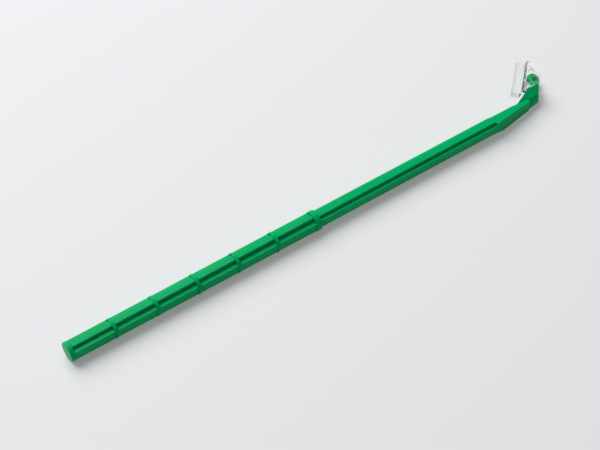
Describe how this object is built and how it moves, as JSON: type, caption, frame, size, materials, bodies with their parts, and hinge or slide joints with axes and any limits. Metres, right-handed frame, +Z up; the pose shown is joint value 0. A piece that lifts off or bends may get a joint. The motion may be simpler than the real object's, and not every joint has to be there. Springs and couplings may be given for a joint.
{
  "type": "cell scraper",
  "caption": "Disposable laboratory cell scraper: a long fluted handle with disc ribs and a bent neck, and a clear blade that swivels on an integral pin at its head.",
  "frame": {"origin": "centre of the round butt face of the handle", "axes": "+X along the handle towards the head, +Y to the side that the neck bends to and the blade sits on, +Z up, along the pin"},
  "size_m": [0.254, 0.0309, 0.0092],
  "materials": {
    "handle_plastic": "moulded, satin",
    "clear_plastic": "moulded, clear"
  },
  "bodies": {
    "handle": {"handle": "handle_plastic"},
    "blade": {"blade": "clear_plastic"}
  },
  "joints": [
    {"name": "blade_swivel", "type": "hinge", "parent": "handle", "child": "blade", "pos_m": [0.24785, 0.01335, 0], "axis": [0, 0, 1], "range_deg": [-133, 8]}
  ]
}
